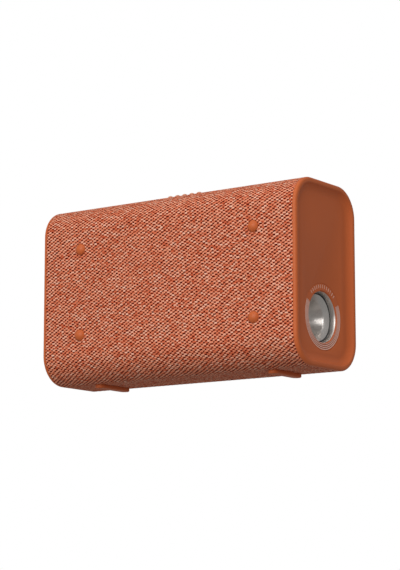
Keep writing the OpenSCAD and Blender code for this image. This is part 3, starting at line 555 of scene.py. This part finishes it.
def settle(piece, place=Matrix(), fillet=0.0, smooth=32):
    """Puts a piece in its place, turns its faces outward, and rounds its sharp edges."""
    single_out(piece)
    piece.matrix_world = place @ piece.matrix_world
    bpy.ops.object.transform_apply()
    edit(piece)
    bpy.ops.mesh.select_all(action="SELECT")
    bpy.ops.mesh.remove_doubles(threshold=2e-6)
    bpy.ops.mesh.normals_make_consistent(inside=False)
    bpy.ops.object.mode_set(mode="OBJECT")
    if fillet:
        edge = piece.modifiers.new("edge", "BEVEL")
        edge.width = fillet
        edge.segments = 2
        edge.angle_limit = math.radians(35)
        edge.use_clamp_overlap = False
        bpy.ops.object.modifier_apply(modifier="edge")
    bpy.ops.object.shade_smooth_by_angle(angle=math.radians(smooth))


def cap_moulding(name):
    """Rim, cove, dish floor, skirt and bored boss, in the cap's own frame."""
    sum_r = ((cove_w - crest_end) ** 2 + dish_depth ** 2) / (2 * dish_depth)
    cove_r = sum_r - crest_round
    join_at = math.degrees(math.asin((sum_r - dish_depth) / sum_r))
    rim = arc(rim_round, -rim_round, rim_round, 180, 90, 7)
    crest = arc(crest_end, -crest_round, crest_round, 90, join_at, 4)
    cove = arc(cove_w, cove_r - dish_depth, cove_r, 180 + join_at, 270, 10)
    face = rim + crest + cove[1:] + [(cove_w + cove_foot, -dish_depth)]
    skirt = [(0, -rim_band), (skirt_out, -rim_band), (skirt_out, -skirt_end),
             (skirt_in, -skirt_end), (skirt_in, -floor_back)]
    piece = block(name, (2 * half_d, 2 * half_h), -rim_band, -rim_round, corner_r)
    follow(piece, face, 1)
    follow(piece, skirt, -1)
    boss = rod(ring_r + boss_wall, -boss_end, -floor_back + boss_bite, y=torch_up, sides=160)
    combine(piece, boss, "UNION")
    combine(piece, rod(ring_r + recess_gap, -recess_depth, cut_past, y=torch_up, sides=160))
    combine(piece, rod(boss_hole_r, -boss_end - 0.001, cut_past, y=torch_up, sides=160))
    return piece


cap_plastic = moulded("burnt_orange_plastic", linear(200, 100, 51), 0.5)
right_cap = cap_moulding("right_cap")
settle(right_cap, right_end, moulded_edge)
fit(right_cap, cap_plastic, "cap_plastic", "end_cap_right")

port_bores = {"car_socket": 0.0124, "dc_input_jack": 0.0054}
port_slots = {"usb_a_ports": (0.0136, 0.0062, 0.0003), "usb_c_ports": (0.0094, 0.0037, 0.00184)}
port_side, port_depth = 0.015, 0.02
left_cap = cap_moulding("left_cap")
for node, bore in port_bores.items():
    x, y, z = centre_of(node)
    combine(left_cap, rod(bore, -port_depth, cut_past, y - middle.y, z - middle.z))
for node, (width, height, corner) in port_slots.items():
    x, y, z = centre_of(node)
    for side in (-port_side, port_side):
        slot = block("port_slot", (width, height), -port_depth, cut_past, corner, segments=6)
        single_out()
        slot.location = (side, z - middle.z, 0)
        combine(left_cap, slot)
settle(left_cap, left_end, moulded_edge)
fit(left_cap, cap_plastic, "cap_plastic", "end_cap_left")

# Studs and feet --------------------------------------------------------------------------
# Four domed rest studs are bolted through the front of the tube. Two rounded bars under the ends
# are the feet, and hide the screws that hold them. Their corners stop just short of half their
# width, so that no side is left without a length.


def turn(name, profile, sides=96):
    """A turned piece: one circle, extruded from ring to ring through points of (radius, height)."""
    single_out()
    r, z = profile[0]
    fill = "NOTHING" if profile[0] == profile[-1] else "NGON"
    bpy.ops.mesh.primitive_circle_add(vertices=sides, radius=r, location=(0, 0, z), fill_type=fill)
    piece = bpy.context.object
    piece.name = name
    edit(piece)
    bpy.ops.mesh.select_mode(type="VERT")
    bpy.ops.mesh.select_all(action="SELECT")
    for (r, z), (next_r, next_z) in zip(profile, profile[1:]):
        bpy.ops.mesh.extrude_region_move(TRANSFORM_OT_translate={"value": (0, 0, next_z - z)})
        wider = max(next_r, 1e-7) / r
        bpy.ops.transform.resize(value=(wider, wider, 1), center_override=(0, 0, next_z))
    return piece


stud_plastic = moulded("stud_plastic", linear(200, 100, 51), 0.42)
stud_r, stud_h, sleeve_t = 0.0048, 0.003, 0.0012
stud_stem_r, stud_stem_end = 0.0025, 0.0055
dome_r = (stud_r ** 2 + stud_h ** 2) / (2 * stud_h)
rise = math.degrees(math.asin((dome_r - stud_h) / dome_r))
dome = arc(0, sleeve_t + stud_h - dome_r, dome_r, rise, 89.5, 12)
stud_profile = [(stud_stem_r, -stud_stem_end), (stud_stem_r, 0), (stud_r, 0), (stud_r, sleeve_t)]
for node in stud_nodes:
    x, y, z = centre_of(node)
    out_of_front = Matrix(((1, 0, 0, x), (0, 0, -1, body_low.y + sleeve_t),
                           (0, 1, 0, z), (0, 0, 0, 1)))
    stud = turn(node + "_turned", stud_profile + dome[1:], sides=64)
    settle(stud, out_of_front, fillet=0.00035)
    fit(stud, stud_plastic, "stud_plastic", node)

foot_plastic = moulded("foot_plastic", linear(196, 96, 48), 0.55)
foot_round = 0.001
nearly_half = 0.97 / 2
for node in foot_nodes:
    low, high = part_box(node)
    width, length, height = high - low
    foot = block(node + "_moulded", (width, length), foot_round, height, nearly_half * width)
    edge = [(foot_round - r, z) for r, z in arc(0, foot_round, foot_round, 0, -90, 6)]
    follow(foot, edge, -1)
    x, y, z = centre_of(node)
    settle(foot, Matrix.Translation((x, y, low.z)), moulded_edge)
    fit(foot, foot_plastic, "foot_rubber", node)
steel = metal("zinc_plated_steel", linear(176, 178, 182), 0.38)
coat(steel, "foot_screws", "stud_nuts")

# Control strip and buttons ---------------------------------------------------------------
# A stadium-shaped strip is pressed into a slot in the top, over the front. Five domed buttons
# slide in it, over a rubber seal and the switches on the board below.
strip_proud, plug_inset, plug_end, plug_lip = 0.0003, 0.0008, 0.0052, 0.00108
button_r, button_gap, button_top = 0.0022, 0.00008, 0.0029
strip_size = (2 * (strip_run + strip_half_w), 2 * strip_half_w)
strip = block("control_strip_moulded", strip_size, -sleeve_t, strip_proud,
              nearly_half * strip_size[1])
follow(strip, [(0, -sleeve_t), (plug_inset, -sleeve_t), (plug_inset, -plug_end),
               (plug_lip, -plug_end)], -1)
button_nodes = [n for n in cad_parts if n.startswith("button_") and n != "button_seal"]
button_middles = {n: centre_of(n)[0] for n in button_nodes}
for x in button_middles.values():
    combine(strip, rod(button_r + button_gap, -cut_past, cut_past, x, sides=48))
on_top = Matrix.Translation(strip_middle)
settle(strip, on_top, fillet=0.0001)
fit(strip, cap_plastic, "cap_plastic", "control_strip")

button_plastic = moulded("button_plastic", linear(214, 150, 120), 0.45)
button_dome_r, button_dome_from = 0.00292, 41.1
stem_r, stem_end = 0.0012, 0.0054
collar_r, collar_low, collar_top = 0.0029, 0.0039, 0.003
button_profile = [(stem_r, -stem_end), (stem_r, -collar_low), (collar_r, -collar_low),
                  (collar_r, -collar_top), (button_r, -collar_top)]
button_profile += arc(0, button_top - button_dome_r, button_dome_r, button_dome_from, 89.5, 8)
for node, x in button_middles.items():
    button = turn(node + "_turned", button_profile, sides=48)
    settle(button, on_top @ Matrix.Translation((x, 0, 0)), fillet=0.0002)
    fit(button, button_plastic, "button_plastic", node, body=node)
coat(moulded("silicone_seal", linear(52, 48, 46), 0.7), "button_seal")

# Torch -----------------------------------------------------------------------------------
# A trim ring with fine pale rings, a polished bezel screwed through the boss, a clear lens on
# its seal, a mirror-bright reflector and a white LED on a star board with a finned sink.
torch = right_end @ torch_shift
bezel_r, ring_bore_r, ring_chamfer_r = 0.01975, 0.0204, 0.0211
bezel_front, lip_front = 0.0062, 0.005
groove_in, groove_step, groove_w, groove_count = 0.0219, 0.0015, 0.00075, 3
groove_depth, groove_from, groove_turn = 0.0005, 152, 236
tick_in, tick_out, tick_depth = 0.0229, 0.0258, 0.00012
tick_step, tick_half_w = 7, 1
tick_reach = 6.5 * tick_step
ring_edge = 0.0002


def around_ring(x, y):
    """Degrees past the start of the grooves, for a place on the ring's face."""
    return (math.degrees(math.atan2(y, x)) - groove_from) % 360


def ring_finish():
    """Burnt-orange plastic with pale ink on the ridges between the grooves and on the ticks."""
    finish = moulded("ring_plastic", linear(200, 100, 51), 0.5)
    plain = finish.surface.inputs["Base Color"].links[0].from_socket
    centre = (0, -middle.y, -middle.z - torch_up)
    moved = finish.node("ShaderNodeMapping", {"Vector": finish.place(), "Location": centre})
    x, y, z = finish.parts(moved)
    radius = finish.math("SQRT", y * y + z * z)
    angle = finish.math("ARCTAN2", z, y) * (180 / math.pi)
    ringed = (angle - groove_from) % 360 < groove_turn
    across = ((radius - groove_in) / groove_step) % 1
    ridge = finish.math("ABSOLUTE", across - 0.5) < 0.26
    band = (radius > ring_chamfer_r) * (radius < groove_in + groove_count * groove_step)
    face = x > crest_x - dish_depth - 0.00018
    tick_band = (radius > tick_in) * (radius < tick_out)
    off_tick = (angle - 90 + tick_step / 2) % tick_step - tick_step / 2
    near_tick = finish.math("ABSOLUTE", off_tick) < tick_half_w
    ticked = near_tick * tick_band * (finish.math("ABSOLUTE", angle - 90) < tick_reach)
    ink = face * finish.math("MAXIMUM", ringed * ridge * band, ticked)
    wear = finish.noise(finish.place(), scale=700)
    pale = finish.mix(wear, linear(226, 178, 160), linear(246, 210, 194))
    finish.feed("Base Color", finish.mix(ink, Field(finish.tree, plain), pale))
    return finish


ring_profile = [(ring_bore_r, -bezel_front), (ring_bore_r, -lip_front),
                (ring_chamfer_r, -dish_depth)]
for k in range(groove_count):
    r = groove_in + k * groove_step
    ring_profile += [(r - groove_w / 2, -dish_depth), (r + groove_w / 2, -dish_depth)]
ring_profile += [(ring_r - ring_edge, -dish_depth), (ring_r, -dish_depth - ring_edge),
                 (ring_r, -bezel_front)]
ring = turn("torch_ring_moulded", ring_profile + ring_profile[:1], sides=360)


def in_groove(f):
    """Whether a face of the ring lies on one of the groove circles, within their turn."""
    x, y, z = f.calc_center_median()
    k = (math.hypot(x, y) - groove_in) / groove_step
    on_circle = abs(k - round(k)) < 0.2 and -0.5 < k < groove_count - 0.5
    return z > -dish_depth - 1e-5 and on_circle and around_ring(x, y) < groove_turn


def in_tick(f):
    """Whether a face of the ring lies on one of the ticks over the top."""
    x, y, z = f.calc_center_median()
    angle = math.degrees(math.atan2(y, x)) - 90
    near = abs((angle + tick_step / 2) % tick_step - tick_step / 2) < tick_half_w
    within = tick_in - 0.0003 < math.hypot(x, y) < tick_out + 0.0003
    return z > -dish_depth - 1e-5 and near and within and abs(angle) < tick_reach


for test, depth in ((in_groove, groove_depth), (in_tick, tick_depth)):
    pick(ring, test)
    bpy.ops.mesh.extrude_region_move(TRANSFORM_OT_translate={"value": (0, 0, -depth)})
settle(ring, torch)
fit(ring, ring_finish(), "ring_plastic", "torch_ring")

polished = metal("polished_aluminium", linear(222, 216, 210), 0.42, grain=0.000001)
tube_r, flange_r, neck_r = 0.0216, 0.0264, 0.01425
neck_at, bezel_back = 0.0221, 0.0301
bezel_lip = [(0.02, -0.0058), (0.01982, -0.0066), (bezel_r, -0.0078)]
bezel_profile = bezel_lip + [
    (bezel_r, -neck_at), (neck_r, -neck_at), (neck_r, -bezel_back), (tube_r, -bezel_back),
    (tube_r, -recess_depth), (flange_r, -recess_depth), (flange_r, -bezel_front),
    (ring_bore_r, -bezel_front), (ring_bore_r, -lip_front)]
bezel = turn("torch_bezel_turned", bezel_profile + bezel_profile[:1], sides=128)
settle(bezel, torch, fillet=0.0001)
fit(bezel, polished, "polished_metal", "torch_bezel")


def clear_acrylic():
    """Almost clear, with a film of fine dust."""
    finish = Finish("clear_acrylic", {"Base Color": (1, 1, 1, 1), "IOR": 1.49,
                                      "Specular IOR Level": 0.5})
    dust = finish.noise(finish.place(), scale=500, detail=3)
    finish.feed("Alpha", dust * 0.03 + 0.015)
    finish.feed("Roughness", dust * 0.05 + 0.02)
    return finish


lens_r, lens_back, seal_in, seal_back = 0.01965, 0.0093, 0.0187, 0.0103
lens_profile = [(0.0192, -lens_back), (lens_r, -0.009), (lens_r, -0.0084), (0.0194, -0.0082)]
lens = turn("torch_lens_turned", lens_profile, sides=128)
settle(lens, torch)
fit(lens, clear_acrylic(), "clear_lens", "torch_lens")
seal_profile = [(bezel_r, -seal_back), (bezel_r, -lens_back), (seal_in, -lens_back),
                (seal_in, -seal_back), (bezel_r, -seal_back)]
seal = turn("lens_seal_moulded", seal_profile, sides=128)
settle(seal, torch, fillet=0.0001)
fit(seal, moulded("seal_rubber", linear(30, 28, 27), 0.7), "seal_rubber", "lens_seal")

mirror_rim_r, bowl_r, mirror_hole_r = 0.0185, 0.0145, 0.0042
mirror_rim, bowl_top, mirror_end = 0.0095, 0.0121, 0.0275
mirror_wall, bowl_rings = 0.001, 28
collar_in, collar_out, collar_front, collar_back = 0.0175, 0.0197, 0.0107, 0.0129
bowl_scale = (bowl_r ** 2 - mirror_hole_r ** 2) / (mirror_end - bowl_top)
bowl_steps = range(bowl_rings + 1)
bowl_radii = [bowl_r + (mirror_hole_r - bowl_r) * k / bowl_rings for k in bowl_steps]
bowl = [(r, -bowl_top - (bowl_r ** 2 - r ** 2) / bowl_scale) for r in bowl_radii]
outside = [(r + mirror_wall, z - mirror_wall) for r, z in reversed(bowl)]
collar = [(collar_in, -collar_back), (collar_out, -collar_back), (collar_out, -collar_front),
          (mirror_rim_r, -collar_front)]
rim_point = [(mirror_rim_r, -mirror_rim)]
reflector_profile = rim_point + bowl + outside + collar + rim_point
reflector = turn("torch_reflector_pressed", reflector_profile, sides=128)
settle(reflector, torch, smooth=50)
mirror = metal("vacuum_mirror", linear(218, 212, 206), 0.3, grain=0.0000003, mottle=0.3)
fit(reflector, mirror, "mirror_metal", "torch_reflector")

coat(moulded("led_resin", linear(240, 214, 120), 0.3, flow=0.05), "torch_led")
sink_metal = metal("finned_aluminium", linear(180, 182, 186), 0.45)
coat(sink_metal, "torch_heatsink", "torch_bezel_nut", "heat_spreader")

# Sockets on the left end -----------------------------------------------------------------
# A recessed mains socket, a 12 V socket with a deep bore, a DC input and two rows of USB ports
# sit in the dish of the left cap, held by nuts from behind.
socket_plastic = moulded("socket_plastic", linear(120, 62, 38), 0.5)
ac_bore_r, ac_bore_end, ac_chamfer = 0.0195, 0.0215, 0.0005
ac_face_r, ac_body_r, ac_back = 0.0268, 0.0216, 0.0245
pin_r, pin_side, pin_from = 0.0025, 0.0095, 0.015
ac_profile = [(ac_bore_r, -ac_bore_end), (ac_bore_r, -dish_depth - ac_chamfer),
              (ac_bore_r + ac_chamfer, -dish_depth), (ac_face_r, -dish_depth),
              (ac_face_r, -recess_depth), (ac_body_r, -recess_depth), (ac_body_r, -ac_back)]
ac_socket = turn("mains_socket_moulded", ac_profile, sides=128)
for x in (-pin_side, pin_side):
    combine(ac_socket, rod(pin_r, -0.03, -pin_from, x, sides=48))
settle(ac_socket, left_end @ torch_shift, fillet=0.0002)
fit(ac_socket, socket_plastic, "socket_plastic", "ac_socket")
brass = metal("brass_contacts", linear(214, 176, 96), 0.3)
coat(brass, "ac_contacts", "board_standoffs")

black_plastic = moulded("black_plastic", linear(40, 38, 38), 0.5)
x, y, z = centre_of("car_socket")
car_at = Matrix.Translation((y - middle.y, z - middle.z, 0))
car_bore_r, car_bore_end, car_front = 0.0105, 0.042, 0.0028
car_face_r, car_body_r, car_back = 0.0155, 0.0122, 0.044
car_profile = [(car_bore_r, -car_bore_end), (car_bore_r, -0.0035), (0.0112, -car_front),
               (0.0151, -car_front), (car_face_r, -0.0032), (car_face_r, -dish_depth),
               (car_body_r, -dish_depth), (car_body_r, -car_back)]
car_socket = turn("car_socket_moulded", car_profile, sides=96)
settle(car_socket, left_end @ car_at, moulded_edge)
fit(car_socket, black_plastic, "black_plastic", "car_socket")
coat(black_plastic, "dc_input_jack", "tact_switches", "cell_holder_front", "cell_holder_back")
coat(metal("port_shell", linear(190, 190, 194), 0.3), "usb_a_ports", "usb_c_ports")
coat(steel, "socket_nuts")

# Battery, boards and leads ---------------------------------------------------------------
# Cells in two moulded holders between aluminium brackets, with the charger and inverter boards
# on and over them. They are closed in by the tube and the caps.


def circuit_board():
    """Green solder mask over copper tracks and pads."""
    finish = Finish("circuit_board", {"Specular IOR Level": 0.5})
    place = finish.place()
    tracks = finish.node("ShaderNodeTexBrick", {"Vector": place, "Scale": 300.0}, out="Fac")
    pads = finish.node("ShaderNodeTexVoronoi", {"Vector": place, "Scale": 260.0}) < 0.2
    mask = finish.mix(tracks, linear(20, 74, 44), linear(34, 104, 62))
    finish.feed("Base Color", finish.mix(pads, mask, linear(190, 186, 170)))
    finish.feed("Roughness", finish.noise(place, scale=200) * 0.2 + 0.3)
    finish.bump(tracks, distance=0.00003)
    return finish


coat(circuit_board(), "control_board", "torch_star_board", "torch_driver_board", "bms_board",
     "inverter_board", "port_board")
coat(steel, "control_board_screws", "heatsink_screws", "bracket_screws", "port_board_screws")
coat(moulded("cell_wrap", linear(38, 120, 122), 0.35), "battery_cells")
coat(metal("nickel_strip", linear(196, 192, 184), 0.35), "cell_links")
coat(metal("folded_aluminium", linear(184, 186, 190), 0.45, (60, 6, 60)),
     "battery_bracket_right", "battery_bracket_left", "deck_plate")
coat(moulded("transformer_tape", linear(206, 170, 62), 0.5), "transformer")
coat(moulded("capacitor_sleeve", linear(30, 38, 72), 0.4), "capacitors")
coat(metal("enamelled_copper", linear(186, 96, 52), 0.35, (300, 40, 40)), "inductor")
coat(moulded("lead_insulation", linear(168, 36, 30), 0.5), "power_leads")
coat(moulded("ribbon_insulation", linear(120, 118, 116), 0.55), "signal_leads")
